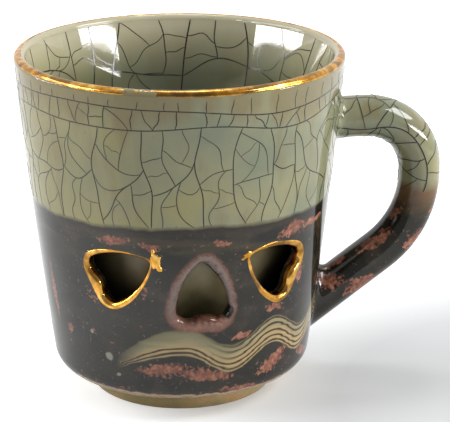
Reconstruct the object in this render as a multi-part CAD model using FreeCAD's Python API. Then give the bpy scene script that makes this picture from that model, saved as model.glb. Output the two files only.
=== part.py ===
import FreeCAD, Part
import math
import os

# Double-walled mug of crackle-glazed stoneware, fired as one piece.
# An inner cup hangs inside an outer wall and is luted to it at the rim, so air lies
# between the two. Three heart-shaped windows open that air space at the front, and a
# round handle is luted to the side. Sizes are in millimetres.
# The part stands on its foot ring at Z = 0 with its axis on Z. The handle points to +X
# and the middle heart faces -Y.

# Outside form
mug_height = 90.0
rim_radius = 42.5
corner_radius = 33.6             # from the axis, where the wall and underside lines would meet
corner_height = 7.2
corner_rounding = 5.0
wall_swell = 0.5                 # how far the wall bows out between corner and lip

# Foot ring
foot_radius = 24.3
foot_ring_width = 4.0
foot_ring_height = 3.2
foot_recess_depth = 2.4
foot_edge_rounding = 0.7

# Outer wall, lip and inner cup
outer_wall = 3.2
base_thickness = 4.0
lip_thickness = 3.0
cup_wall = 2.8
cup_floor_radius = 20.0          # where the cup's side and floor lines would meet
cup_floor_thickness = 3.4
cup_corner_rounding = 9.0
gap_under_cup = 5.5
seam_depth = 25.0                # clay that joins cup and wall reaches this far below the rim

# Heart windows, all cut with one cutter
heart_length = 16.2
heart_width = 13.0
heart_lobe_rounding = 2.8
heart_notch_depth = 0.9
heart_tip_rounding = 1.0
heart_edge_rounding = 1.2
# Each window: angle round the mug from the front towards the handle, height of its
# middle, and the lean of its tip from straight up towards the handle, in degrees
heart_windows = [
    {"angle": -32.4, "height": 41.6, "lean": 62.0},
    {"angle": -0.8, "height": 37.2, "lean": -4.0},
    {"angle": 29.4, "height": 41.4, "lean": -59.0},
]

# Handle: a bar along a straight top, a bend, a short drop, a wide bend and a straight run
handle_thickness = 11.0          # in the plane of the handle
handle_width = 12.0              # across it
handle_below_rim = 20.2          # from the rim down to the middle of the bar's straight top
handle_reach = 64.7              # furthest distance of the bar's middle from the axis
handle_bend_radius = 15.0
handle_drop = 2.0
handle_foot_height = 10.4        # where the bar's underside meets the wall again
handle_run = 28.8                # straight part of the underside, from the wide bend to the wall
handle_blend = 2.5               # rounding of the luted clay where the bar meets the wall

ORIGIN = FreeCAD.Vector(0, 0, 0)
ALONG_X = FreeCAD.Vector(1, 0, 0)
ALONG_Y = FreeCAD.Vector(0, 1, 0)
UP = FreeCAD.Vector(0, 0, 1)
FULL_TURN = 360.0
SEAM_ANGLE = 135.0               # turned faces start at the back, clear of handle and hearts
POCKET_CLEARANCE = 0.3           # left between the heart cutter and the inner cup
TOUCH = 0.001

lip_height = mug_height - lip_thickness / 2
bowl_radius = rim_radius - lip_thickness
cavity_floor = foot_ring_height + base_thickness
cup_underside = cavity_floor + gap_under_cup
bowl_floor = cup_underside + cup_floor_thickness
handle_top_height = mug_height - handle_below_rim


def at(radius, height):
    """A point in the plane of the handle, by its distance from the axis and its height."""
    return FreeCAD.Vector(radius, 0, height)


def line(start, end):
    return Part.LineSegment(start, end).toShape()


def arc(start, middle, end):
    return Part.Arc(start, middle, end).toShape()


def bowed(start, end, swell):
    """An arc from start up to end whose middle stands off the chord, away from the axis."""
    chord = end - start
    outwards = at(chord.z, -chord.x).normalize()
    return arc(start, (start + end) * 0.5 + outwards * swell, end)


def turned(edges):
    """The solid that a closed section gives when it is turned round the axis."""
    section = Part.Face(Part.Wire(edges))
    section.rotate(ORIGIN, UP, SEAM_ANGLE)
    return section.revolve(ORIGIN, UP, FULL_TURN)


def rings(solid, radius, height):
    """The round edges of a turned solid at one radius and height."""
    found = []
    for edge in solid.Edges:
        point = edge.valueAt((edge.FirstParameter + edge.LastParameter) / 2)
        near = abs(math.hypot(point.x, point.y) - radius) + abs(point.z - height)
        if near < TOUCH:
            found.append(edge)
    return found


def shared_edges(solid, first, second):
    """The edges of solid whose middles lie on the skins of both other solids."""
    found = []
    for edge in solid.Edges:
        point = edge.valueAt((edge.FirstParameter + edge.LastParameter) / 2)
        spot = Part.Vertex(point)
        skins = [first.Shells[0], second.Shells[0]]
        if max(skin.distToShape(spot)[0] for skin in skins) < TOUCH:
            found.append(edge)
    return found


def wall_radius(height):
    """Outside radius of the outer wall at a height, leaving out its slight swell."""
    share = (height - corner_height) / (lip_height - corner_height)
    return corner_radius + (rim_radius - corner_radius) * share


def make_pot():
    """The turned form with its foot, lip and bowl, still solid between the two walls."""
    foot_inner = foot_radius - foot_ring_width
    corner = at(corner_radius, corner_height)
    lip_outer = at(rim_radius, lip_height)
    lip_inner = at(bowl_radius, lip_height)
    lip_top = at((rim_radius + bowl_radius) / 2, mug_height)
    pot = turned([
        line(at(0, foot_recess_depth), at(foot_inner, foot_recess_depth)),
        line(at(foot_inner, foot_recess_depth), at(foot_inner, 0)),
        line(at(foot_inner, 0), at(foot_radius, 0)),
        line(at(foot_radius, 0), at(foot_radius, foot_ring_height)),
        line(at(foot_radius, foot_ring_height), corner),
        bowed(corner, lip_outer, wall_swell),
        arc(lip_outer, lip_top, lip_inner),
        line(lip_inner, at(cup_floor_radius, bowl_floor)),
        line(at(cup_floor_radius, bowl_floor), at(0, bowl_floor)),
        line(at(0, bowl_floor), at(0, foot_recess_depth)),
    ])
    pot = pot.makeFillet(corner_rounding, rings(pot, corner_radius, corner_height))
    pot = pot.makeFillet(cup_corner_rounding, rings(pot, cup_floor_radius, bowl_floor))
    foot_edges = rings(pot, foot_radius, 0) + rings(pot, foot_inner, 0)
    return pot.makeFillet(foot_edge_rounding, foot_edges)


def make_cup_form(clearance):
    """Outside of the inner cup as a solid, grown by a clearance."""
    corner = at(cup_floor_radius + cup_wall + clearance, cup_underside - clearance)
    top = at(bowl_radius + cup_wall + clearance, lip_height)
    form = turned([
        line(at(0, corner.z), corner),
        line(corner, top),
        line(top, at(0, lip_height)),
        line(at(0, lip_height), at(0, corner.z)),
    ])
    return form.makeFillet(cup_corner_rounding, rings(form, corner.x, corner.z))


def make_air_space():
    """The space between the walls, under the seam and round the inner cup."""
    corner = at(corner_radius - outer_wall, corner_height + base_thickness)
    seam = mug_height - seam_depth
    seam_radius = wall_radius(seam) - outer_wall
    space = turned([
        line(at(0, cavity_floor), at(foot_radius, cavity_floor)),
        line(at(foot_radius, cavity_floor), corner),
        bowed(corner, at(seam_radius, seam), wall_swell),
        line(at(seam_radius, seam), at(0, seam)),
        line(at(0, seam), at(0, cavity_floor)),
    ])
    space = space.makeFillet(corner_rounding / 2, rings(space, corner.x, corner.z))
    return space.cut(make_cup_form(0))


def make_handle():
    """The bar along its path, with both ends buried in the clay of the pot."""
    half = handle_thickness / 2
    bend = handle_bend_radius
    root = at(wall_radius(handle_top_height) - outer_wall, handle_top_height)
    foot = at(wall_radius(handle_foot_height), handle_foot_height)
    bend_centre = at(handle_reach - bend, handle_top_height - bend)
    wide_start = at(handle_reach, bend_centre.z - handle_drop)

    # The underside's arc leaves a straight run of the stated length to the foot
    span = wide_start + at(half, 0) - foot
    under = (span.x ** 2 + span.z ** 2 - handle_run ** 2) / (2 * span.x)
    wide = under - half
    wide_centre = wide_start - at(wide, 0)
    to_foot = foot - wide_centre
    turn = -math.atan2(to_foot.z, to_foot.x) - math.acos(under / to_foot.Length)
    inwards = at(-math.sin(turn), -math.cos(turn))
    to_underside = at(math.cos(turn), -math.sin(turn))
    buried = outer_wall / 2 / math.sin(turn)

    def on_bend(centre, radius, angle):
        return centre + at(radius * math.cos(angle), radius * math.sin(angle))

    bend_start = on_bend(bend_centre, bend, math.pi / 2)
    bend_end = on_bend(bend_centre, bend, 0)
    wide_end = on_bend(wide_centre, wide, -turn)
    path = Part.Wire([
        line(root, bend_start),
        arc(bend_start, on_bend(bend_centre, bend, math.pi / 4), bend_end),
        line(bend_end, wide_start),
        arc(wide_start, on_bend(wide_centre, wide, -turn / 2), wide_end),
        line(wide_end, foot - to_underside * half + inwards * buried),
    ])
    return path.makePipeShell([bar_section(root)], True, False)


def bar_section(centre):
    """The bar's oval section, square to its straight top."""
    across = centre + ALONG_Y * (handle_width / 2)
    upright = centre + UP * (handle_thickness / 2)
    if handle_width > handle_thickness + TOUCH:
        oval = Part.Ellipse(across, upright, centre)
    elif handle_thickness > handle_width + TOUCH:
        oval = Part.Ellipse(upright, across, centre)
    else:
        oval = Part.Circle(centre, ALONG_X, handle_width / 2)
    return Part.Wire([oval.toShape()])


def heart_edges():
    """The cutter's outline about its middle, tip up: arcs that touch where they meet.

    The notch's arc lies outside both lobe arcs, and the tip's arc inside both flanks.
    """
    half = heart_width / 2
    depth = heart_notch_depth
    lobe = heart_lobe_rounding
    tip = heart_tip_rounding
    notch = ((half - lobe) ** 2 + depth ** 2 - 2 * lobe * depth) / (2 * depth)
    lobe_centre = at(half - lobe, lobe - heart_length / 2)
    notch_top = at(0, depth - heart_length / 2)
    notch_centre = notch_top - at(0, notch)
    notch_touch = notch_centre + (lobe_centre - notch_centre) * (notch / (lobe + notch))
    widest = at(half, lobe_centre.z)
    tip_top = at(0, heart_length / 2)
    tip_centre = tip_top - at(0, tip)
    rise = tip_centre.z - widest.z
    flank = (half ** 2 + rise ** 2 - tip ** 2) / (2 * (half - tip))
    flank_centre = at(half - flank, widest.z)
    tip_touch = flank_centre + (tip_centre - flank_centre) * (flank / (flank - tip))

    def between(centre, radius, start, end):
        """The point of an arc half way between two others on it."""
        middle = (start - centre).normalize() + (end - centre).normalize()
        return centre + middle.normalize() * radius

    lowest = lobe_centre - at(0, lobe)
    right_side = [
        (notch_top, between(notch_centre, notch, notch_top, notch_touch), notch_touch),
        (notch_touch, lowest, widest),
        (widest, between(flank_centre, flank, widest, tip_touch), tip_touch),
        (tip_touch, between(tip_centre, tip, tip_touch, tip_top), tip_top),
    ]
    left_side = [[at(-p.x, p.z) for p in reversed(points)] for points in reversed(right_side)]
    return [arc(*points) for points in right_side + left_side]


def make_heart_cutter(window):
    """A heart-shaped bar from the inner cup outwards through the outer wall."""
    profile = Part.Face(Part.Wire(heart_edges()))
    cutter = profile.extrude(ALONG_Y * -(rim_radius + outer_wall))
    cutter.rotate(ORIGIN, ALONG_Y, window["lean"])
    cutter.translate(at(0, window["height"]))
    cutter.rotate(ORIGIN, UP, window["angle"])
    return cutter.cut(make_cup_form(POCKET_CLEARANCE))


def make_mug():
    pot = make_pot()
    handle = make_handle()
    mug = pot.fuse(handle)
    mug = mug.makeFillet(handle_blend, shared_edges(mug, pot, handle))
    for window in heart_windows:
        cutter = make_heart_cutter(window)
        mug = mug.cut(cutter)
        mug = mug.makeFillet(heart_edge_rounding, shared_edges(mug, pot, cutter))
    return mug.cut(make_air_space())


os.makedirs("parts", exist_ok=True)
mug = make_mug()
mug.Solids[0].exportStep("parts/mug.step")
print("solids", len(mug.Solids), "valid", mug.isValid(), "volume", round(mug.Volume))
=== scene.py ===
import math

import bpy
import numpy as np
from mathutils import Matrix, Vector
from mathutils.bvhtree import BVHTree


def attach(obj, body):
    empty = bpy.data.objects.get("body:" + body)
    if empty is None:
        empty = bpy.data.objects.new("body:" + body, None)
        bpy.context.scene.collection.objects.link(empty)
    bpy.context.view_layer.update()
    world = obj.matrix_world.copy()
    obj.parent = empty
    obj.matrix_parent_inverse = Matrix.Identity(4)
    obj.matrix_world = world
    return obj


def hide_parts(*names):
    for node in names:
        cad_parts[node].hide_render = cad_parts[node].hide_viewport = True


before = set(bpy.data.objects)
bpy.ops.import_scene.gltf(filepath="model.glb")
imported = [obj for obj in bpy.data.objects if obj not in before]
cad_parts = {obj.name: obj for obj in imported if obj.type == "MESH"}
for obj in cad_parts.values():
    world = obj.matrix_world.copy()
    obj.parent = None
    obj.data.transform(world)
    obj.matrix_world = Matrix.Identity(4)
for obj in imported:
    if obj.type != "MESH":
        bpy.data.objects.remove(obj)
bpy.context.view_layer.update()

# Crackle-glazed stoneware mug with gold lustre, dressed over its fired body.
# Lengths in this script are millimetres, and meshes are scaled to metres when they are made.
# Angles round the mug are in degrees from the front (-Y) towards the handle (+X), and an
# arc on the wall is measured in millimetres at WALL_ARC_RADIUS.
MM = 0.001
SEED = 11

# The turned form
MUG_HEIGHT = 90.0
CORNER = (33.6, 7.2)              # radius and height where wall and underside lines meet
LIP_CENTRE = (41.0, 88.5)
LIP_ROUNDING = 1.5
RIM_RADIUS = LIP_CENTRE[0] + LIP_ROUNDING
WALL_SWELL = 0.5
WALL_TAPER = (RIM_RADIUS - CORNER[0]) / (LIP_CENTRE[1] - CORNER[1])
BOWL_FLOOR = 16.1
BOWL_FLOOR_RADIUS = 20.0
BOWL_TOP_RADIUS = 39.5
FOOT_ZONE_TOP = 6.1
WALL_ARC_RADIUS = 37.75

# Handle path: straight top, bend, short drop, wide bend
HANDLE_TOP = 69.8
HANDLE_BEND_CENTRE = (49.7, 54.8)
HANDLE_BEND_RADIUS = 15.0
HANDLE_DROP = 2.0
HANDLE_WIDE_CENTRE = (38.7, 52.8)
HANDLE_WIDE_RADIUS = 26.0
HANDLE_BAR_RADIUS = 5.75

# Heart windows: angle and height of the middle, lean of the tip from upright in degrees
HEART_LENGTH = 16.2
HEART_WIDTH = 13.0
HEART_LOBE = 2.8
HEART_NOTCH_DEPTH = 0.9
HEART_TIP = 1.0
HEART_EDGE_ROUNDING = 1.2
HEARTS = {
    "left": {"angle": -32.4, "height": 41.6, "lean": 62.0},
    "middle": {"angle": -0.8, "height": 37.2, "lean": -4.0},
    "right": {"angle": 29.4, "height": 41.4, "lean": -59.0},
}

# The arcs of the heart's outline, about its middle with the tip up
HEART_BASE = -HEART_LENGTH / 2
LOBE_X, LOBE_Y = HEART_WIDTH / 2 - HEART_LOBE, HEART_BASE + HEART_LOBE
TIP_Y = HEART_LENGTH / 2 - HEART_TIP
NOTCH_ROUNDING = (LOBE_X ** 2 + HEART_NOTCH_DEPTH ** 2
                  - 2 * HEART_LOBE * HEART_NOTCH_DEPTH) / (2 * HEART_NOTCH_DEPTH)
NOTCH_Y = HEART_BASE + HEART_NOTCH_DEPTH - NOTCH_ROUNDING
FLANK_ROUNDING = ((HEART_WIDTH / 2) ** 2 + (TIP_Y - LOBE_Y) ** 2
                  - HEART_TIP ** 2) / (HEART_WIDTH - 2 * HEART_TIP)
FLANK_X = HEART_WIDTH / 2 - FLANK_ROUNDING
TIP_SLOPE = (TIP_Y - LOBE_Y) / -FLANK_X   # of the line on which a flank's arc meets the tip's

# Glaze boundaries
DARK_EDGE = 53.5                  # mean height where the dark glaze ends on the wall
DARK_EDGE_WAVES = ((1, 0.8), (3, 0.3))   # its waves round the mug, each with its swing
HANDLE_DARK_EDGE = 50.5


def wall_radius(z):
    share = (z - CORNER[1]) / (LIP_CENTRE[1] - CORNER[1])
    line = CORNER[0] + (RIM_RADIUS - CORNER[0]) * share
    return line + WALL_SWELL * 4 * share * (1 - share)


def bowl_radius(z):
    share = (z - BOWL_FLOOR) / (LIP_CENTRE[1] - BOWL_FLOOR)
    return BOWL_FLOOR_RADIUS + (BOWL_TOP_RADIUS - BOWL_FLOOR_RADIUS) * share


def dark_edge(angle):
    """Height at which the dark glaze ends, round the wall. The shader repeats it."""
    return sum((swing * np.cos(waves * angle) for waves, swing in DARK_EDGE_WAVES), DARK_EDGE)


# The fired body, read from the frame

def read_body():
    """The fired body's merged points, triangles and the smooth normal of each corner."""
    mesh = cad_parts["mug"].data
    points = np.zeros(len(mesh.vertices) * 3, np.float32)
    mesh.vertices.foreach_get("co", points)
    corners = np.zeros(len(mesh.loops), np.int32)
    mesh.loops.foreach_get("vertex_index", corners)
    normals = np.zeros(len(mesh.loops) * 3, np.float32)
    mesh.corner_normals.foreach_get("vector", normals)
    grid = np.round(points.reshape(-1, 3) / MM * 1000).astype(np.int64)
    merged, place = np.unique(grid, axis=0, return_inverse=True)
    triangles = place.reshape(-1)[corners].reshape(-1, 3)
    normals = normals.reshape(-1, 3, 3)
    a, b, c = triangles.T
    whole = (a != b) & (b != c) & (c != a)
    return merged / 1000.0, triangles[whole], normals[whole]


BODY_POINTS, BODY_TRIANGLES, BODY_NORMALS = read_body()
BODY_TREE = BVHTree.FromPolygons(BODY_POINTS.tolist(), BODY_TRIANGLES.tolist())


def smooth_normal(place, face):
    """The body's smooth normal at a point of one of its triangles."""
    a, b, c = (Vector(BODY_POINTS[i]) for i in BODY_TRIANGLES[face])
    area = (b - a).cross(c - a)
    size = area.length_squared
    share_b = (place - a).cross(c - a).dot(area) / size
    share_c = (b - a).cross(place - a).dot(area) / size
    shares = (1 - share_b - share_c, share_b, share_c)
    total = sum((Vector(n) * s for n, s in zip(BODY_NORMALS[face], shares)), Vector())
    return total.normalized()


def seen_along(start, direction, reach):
    """Where a line from start first meets the body within reach, with its smooth normal."""
    place, _, face, _ = BODY_TREE.ray_cast(start, direction, reach)
    if place is None:
        return None
    return place, smooth_normal(place, face)


def nearest_on_body(guess):
    place, _, face, _ = BODY_TREE.find_nearest(guess)
    return place, smooth_normal(place, face)


def round_axis(angle, radius, z):
    """A point by its angle round the mug in radians, its distance from the axis and height."""
    return Vector((radius * math.sin(angle), -radius * math.cos(angle), z))


def on_wall(arc, z):
    """The outside of the wall at an arc position and height, looking in along the radius."""
    angle = arc / WALL_ARC_RADIUS
    start = round_axis(angle, wall_radius(z) + 2.6, z)
    hit = seen_along(start, -round_axis(angle, 1, 0), 4.0)
    if hit is None or math.hypot(hit[0].x, hit[0].y) < wall_radius(z) - 0.4:
        return None
    return hit


def on_bowl(arc, z):
    angle = arc / WALL_ARC_RADIUS
    return seen_along(Vector((0, 0, z)), round_axis(angle, 1, 0), bowl_radius(z) + 2)


def on_bowl_floor(x, y):
    return seen_along(Vector((x, y, MUG_HEIGHT)), Vector((0, 0, -1)), MUG_HEIGHT)


def handle_station(along):
    """Centre of the handle's bar and its outward side at a distance along its path."""
    straight = HANDLE_BEND_CENTRE[0] - wall_radius(HANDLE_TOP)
    bend = HANDLE_BEND_RADIUS * math.pi / 2
    if along < straight:
        return Vector((wall_radius(HANDLE_TOP) + along, 0, HANDLE_TOP)), Vector((0, 0, 1))
    along -= straight
    if along < bend:
        centre, radius, turn = HANDLE_BEND_CENTRE, HANDLE_BEND_RADIUS, along / HANDLE_BEND_RADIUS
    elif along < bend + HANDLE_DROP:
        drop = along - bend
        x = HANDLE_BEND_CENTRE[0] + HANDLE_BEND_RADIUS
        return Vector((x, 0, HANDLE_BEND_CENTRE[1] - drop)), Vector((1, 0, 0))
    else:
        centre, radius = HANDLE_WIDE_CENTRE, HANDLE_WIDE_RADIUS
        turn = math.pi / 2 + (along - bend - HANDLE_DROP) / HANDLE_WIDE_RADIUS
    side = Vector((math.sin(turn), 0, math.cos(turn)))
    return Vector((centre[0], 0, centre[1])) + side * radius, side


def on_handle(arc, along):
    centre, side = handle_station(along)
    turn = arc / HANDLE_BAR_RADIUS
    direction = side * math.cos(turn) + Vector((0, -1, 0)) * math.sin(turn)
    return seen_along(centre, direction, HANDLE_BAR_RADIUS + 2.5)


# Making meshes

def linked(name, mesh, *materials):
    piece = bpy.data.objects.new(name, mesh)
    bpy.context.scene.collection.objects.link(piece)
    for material in materials:
        mesh.materials.append(material)
    return piece


def body_piece(name, chosen, zones, materials):
    """The chosen triangles of the body as a piece, each with the material of its zone."""
    triangles = BODY_TRIANGLES[chosen]
    used, place = np.unique(triangles, return_inverse=True)
    mesh = bpy.data.meshes.new(name)
    mesh.from_pydata((BODY_POINTS[used] * MM).tolist(), [], place.reshape(-1, 3).tolist())
    piece = linked(name, mesh, *materials)
    mesh.polygons.foreach_set("use_smooth", np.ones(len(triangles), bool))
    mesh.polygons.foreach_set("material_index", zones[chosen].astype(np.int32))
    mesh.normals_split_custom_set(BODY_NORMALS[chosen].reshape(-1, 3).tolist())
    return piece


FILM_SUNK = 0.12                  # how far a film's back lies under the body's surface


def film(name, rows, thickness, material, closed=True):
    """A thin skin with a back, over rows of places on the body, each a position and normal.

    thickness gives how far the skin stands off at a row and a place in it. A closed film
    runs on from its last row to its first.
    """
    count, width = len(rows), len(rows[0])
    top, bottom = [], []
    for i, row in enumerate(rows):
        for j, (place, normal) in enumerate(row):
            top.append((place + normal * thickness(i, j)) * MM)
            bottom.append((place - normal * FILM_SUNK) * MM)
    shift = len(top)
    faces = []
    for i in range(count if closed else count - 1):
        k = (i + 1) % count
        for j in range(width - 1):
            a, b, c, d = i * width + j, i * width + j + 1, k * width + j + 1, k * width + j
            faces.append((a, b, c, d))
            faces.append((d + shift, c + shift, b + shift, a + shift))
        for j in (0, width - 1):
            a, d = i * width + j, k * width + j
            side = (a, d, d + shift, a + shift)
            faces.append(side if j == 0 else side[::-1])
    if not closed:
        for i in (0, count - 1):
            for j in range(width - 1):
                a, b = i * width + j, i * width + j + 1
                side = (b, a, a + shift, b + shift)
                faces.append(side if i == 0 else side[::-1])
    mesh = bpy.data.meshes.new(name)
    mesh.from_pydata(top + bottom, [], faces)
    mesh.polygons.foreach_set("use_smooth", np.ones(len(faces), bool))
    return linked(name, mesh, material)


# The crackle: each crack runs across a cell and ends on its edges

CRACK_STEP = 0.9                  # between points along a crack
CRACK_AGE_WIDTHS = (1.0, 1.0, 0.96, 0.9, 0.82, 0.74, 0.66)
CRACK_END_WIDTH = 0.6             # of a crack's own width
CRACK_PROUD, CRACK_SUNK = 0.12, 0.35   # a strip's height over and under its path, in widths

# A first crack's width, and how far its path stands off the body
WALL_CRACK = (0.29, 0.03)
BOWL_CRACK = (0.4, 0.04)
HANDLE_CRACK = (0.36, 0.08)


def polygon_area(cell):
    x, y = cell.T
    return 0.5 * abs(np.dot(x, np.roll(y, -1)) - np.dot(y, np.roll(x, -1)))


def crack_path(start, end, draw, bow):
    """A crack from start to end, bowed to one side and slightly wavy."""
    span = end - start
    length = np.hypot(*span)
    count = max(3, int(length / CRACK_STEP) + 1)
    share = np.linspace(0, 1, count)
    side = np.array([-span[1], span[0]])
    waves = draw.normal(0, 0.02) * np.sin(3 * math.pi * share)
    bulge = draw.normal(0, bow) * np.sin(math.pi * share ** draw.uniform(0.75, 1.3))
    return start + span * share[:, None] + side * (waves + bulge)[:, None]


def split_cell(cell, draw, tall, bow):
    """The two cells that a crack across the middle of a cell leaves, and the crack."""
    stretch = np.array([tall, 1.0])
    shape = (cell - cell.mean(0)) * stretch
    _, axes = np.linalg.eigh(shape.T @ shape)
    across = axes[:, 0] / stretch
    turn = draw.normal(0, 0.3)
    across = np.array([across[0] * math.cos(turn) - across[1] * math.sin(turn),
                       across[0] * math.sin(turn) + across[1] * math.cos(turn)])
    across /= np.hypot(*across)
    long_axis = axes[:, 1] / stretch
    spread = np.ptp(shape @ axes[:, 1])
    middle = cell.mean(0) + long_axis * draw.uniform(-0.13, 0.13) * spread
    off = (cell - middle) @ np.array([-across[1], across[0]])
    following = np.roll(off, -1)
    hits = []
    for i in np.nonzero(off * following < 0)[0]:
        share = off[i] / (off[i] - following[i])
        place = cell[i] + (np.roll(cell, -1, 0)[i] - cell[i]) * share
        hits.append(((place - middle) @ across, i, place))
    before = [h for h in hits if h[0] < 0]
    after = [h for h in hits if h[0] > 0]
    if not before or not after:
        return None
    _, i, start = max(before, key=lambda h: h[0])
    _, j, end = min(after, key=lambda h: h[0])
    crack = crack_path(start, end, draw, bow)
    if j < i:
        i, j, crack_back = j, i, crack
    else:
        crack_back = crack[::-1]
    one = np.vstack([cell[i + 1:j + 1], crack_back])
    other = np.vstack([cell[j + 1:], cell[:i + 1], crack_back[::-1]])
    return one, other, crack


def craze(cell, draw, area, tall, bow, age, cracks):
    """Splits a cell until its pieces have about the stated area, and keeps the cracks."""
    if polygon_area(cell) < area * draw.uniform(0.55, 2.0):
        return
    parts = split_cell(cell, draw, tall, bow)
    if parts is None:
        return
    cracks.append((parts[2], age))
    for part in parts[:2]:
        craze(part, draw, area, tall, bow, age + 1, cracks)


def craze_band(draw, around, low, high, uprights, area, tall, bow):
    """The cracks of a band that closes round, between two height lines.

    low and high give a height for an arc position. uprights is how many cracks cross the
    band before its cells split further.
    """
    step = around / uprights
    offsets = draw.uniform(-0.24, 0.24, uprights) * step
    leans = draw.normal(0, 0.07, uprights)
    phases = draw.uniform(0, 2 * math.pi, (uprights, 2))

    def upright(i):
        whole, i = divmod(i, uprights)
        at = i * step + offsets[i]
        bottom, top = low(at), high(at)
        z = np.linspace(bottom, top, max(3, int((top - bottom) / CRACK_STEP)))
        share = (z - bottom) / max(top - bottom, CRACK_STEP)
        sway = np.sin(1.6 * math.pi * share + phases[i, 0])
        sway = sway + 0.25 * np.sin(4 * math.pi * share + phases[i, 1])
        swing = min(step * 0.16, 0.045 * (top - bottom))
        x = at + swing * sway + leans[i] * (top - bottom) * (share - 0.5)
        line = np.stack([x + whole * around, z], 1)
        line[0, 1], line[-1, 1] = low(line[0, 0]), high(line[-1, 0])
        return line

    cracks = []
    for i in range(uprights):
        left, right = upright(i), upright(i + 1)
        cracks.append((left, 1))
        if not area:
            continue
        foot = np.arange(left[0, 0] + CRACK_STEP, right[0, 0] - CRACK_STEP / 2, CRACK_STEP)
        head = np.arange(left[-1, 0] + CRACK_STEP, right[-1, 0] - CRACK_STEP / 2, CRACK_STEP)
        bottom = np.stack([foot, [low(x) for x in foot]], 1)
        top = np.stack([head, [high(x) for x in head]], 1)
        cell = np.vstack([bottom, right, top[::-1], left[::-1]])
        craze(cell, draw, area, tall, bow, 2, cracks)
    return cracks


def ring_line(draw, around, z, wander):
    """A height line that closes round the mug and wanders about its mean."""
    waves = [(k, draw.normal(0, 1), draw.uniform(0, 2 * math.pi)) for k in (2, 3, 5, 8)]
    scale = wander / math.sqrt(sum(a * a / k for k, a, _ in waves))

    def height(arc):
        turn = 2 * math.pi * np.asarray(arc) / around
        return z + scale * sum(a / math.sqrt(k) * np.sin(k * turn + p) for k, a, p in waves)
    return height


def ring_crack(around, height, age):
    arcs = np.linspace(0, around, int(around / CRACK_STEP))
    return np.stack([arcs, height(arcs)], 1), age


def wall_cracks():
    draw = np.random.default_rng(SEED)
    around = 2 * math.pi * WALL_ARC_RADIUS
    glaze_top = ring_line(draw, around, 87.4, 0.1)
    upper = ring_line(draw, around, 84.6, 1.2)
    gap = ring_line(draw, around, 4.3, 1.3)

    def lower(arc):
        return upper(arc) - gap(arc)

    def dark(arc):
        return dark_edge(np.asarray(arc) / WALL_ARC_RADIUS) + 0.4

    cracks = [ring_crack(around, upper, 0), ring_crack(around, lower, 1)]
    cracks += [(line, 3) for line, _ in craze_band(draw, around, upper, glaze_top, 46, 0, 1, 0)]
    cracks += craze_band(draw, around, lower, upper, 27, 16.0, 1.3, 0.06)
    cracks += craze_band(draw, around, dark, lower, 18, 40.0, 1.5, 0.13)
    return cracks


def bowl_cracks():
    draw = np.random.default_rng(SEED + 1)
    around = 2 * math.pi * WALL_ARC_RADIUS
    glaze_top = ring_line(draw, around, 88.6, 0.05)
    corner = ring_line(draw, around, 24.0, 0.3)
    cracks = [ring_crack(around, corner, 1)]
    cracks += craze_band(draw, around, corner, glaze_top, 13, 58.0, 0.9, 0.16)
    return cracks


def floor_cracks():
    draw = np.random.default_rng(SEED + 2)
    turn = np.linspace(0, 2 * math.pi, 150, endpoint=False)
    radius = bowl_radius(24.0)
    cracks = []
    craze(np.stack([np.cos(turn), np.sin(turn)], 1) * radius, draw, 120.0, 1, 0.14, 1, cracks)
    return cracks


def handle_cracks():
    draw = np.random.default_rng(SEED + 3)
    around = 2 * math.pi * HANDLE_BAR_RADIUS
    root = ring_line(draw, around, 0.6, 0.2)
    dark = ring_line(draw, around, 38.5, 1.5)
    return craze_band(draw, around, root, dark, 4, 36.0, 0.7, 0.1)


def lay_cracks(name, crack_lists, width, lift, material):
    """Cracks as flat strips of stained glaze along their paths on the body.

    crack_lists pairs lists of cracks with the function that finds their places.
    """
    points, edges, normals, widths, ages = [], [], [], [], []
    for cracks, find in crack_lists:
        for line, age in cracks:
            previous = None
            full = width * CRACK_AGE_WIDTHS[min(age, len(CRACK_AGE_WIDTHS) - 1)]
            for number, place in enumerate(line):
                found = find(*place)
                if found is None:
                    previous = None
                    continue
                points.append((found[0] + found[1] * lift) * MM)
                normals.append(found[1])
                end = number in (0, len(line) - 1)
                widths.append(full * (CRACK_END_WIDTH if end else 1.0) * MM)
                ages.append(float(age))
                if previous is not None:
                    edges.append((previous, len(points) - 1))
                previous = len(points) - 1
    mesh = bpy.data.meshes.new(name)
    mesh.from_pydata(points, edges, [])
    for kind, label, values in (("FLOAT_VECTOR", "surface_normal", normals),
                                ("FLOAT", "crack_width", widths), ("FLOAT", "crack_age", ages)):
        layer = mesh.attributes.new(label, kind, "POINT")
        key = "vector" if kind == "FLOAT_VECTOR" else "value"
        layer.data.foreach_set(key, np.array(values, np.float32).reshape(-1))
    path = linked(name, mesh)
    return strip_mesh(path, material)


def strip_mesh(path, material):
    """Runs the strip nodes on a path of edges and keeps the result as a plain mesh."""
    tree = strip_nodes()
    modifier = path.modifiers.new("strip", "NODES")
    modifier.node_group = tree
    sockets = {s.name: s.identifier for s in tree.interface.items_tree if s.in_out == "INPUT"}
    modifier[sockets["Proud Share"]] = CRACK_PROUD
    modifier[sockets["Sunk Share"]] = CRACK_SUNK
    modifier[sockets["Material"]] = material
    graph = bpy.context.evaluated_depsgraph_get()
    mesh = bpy.data.meshes.new_from_object(path.evaluated_get(graph), depsgraph=graph)
    path.modifiers.clear()
    mesh.name = path.name
    path.data = mesh
    up = np.zeros(len(mesh.vertices) * 3, np.float32)
    mesh.attributes["surface_normal"].data.foreach_get("vector", up)
    mesh.polygons.foreach_set("use_smooth", np.ones(len(mesh.polygons), bool))
    mesh.normals_split_custom_set_from_vertices(up.reshape(-1, 3).tolist())
    return path


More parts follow.
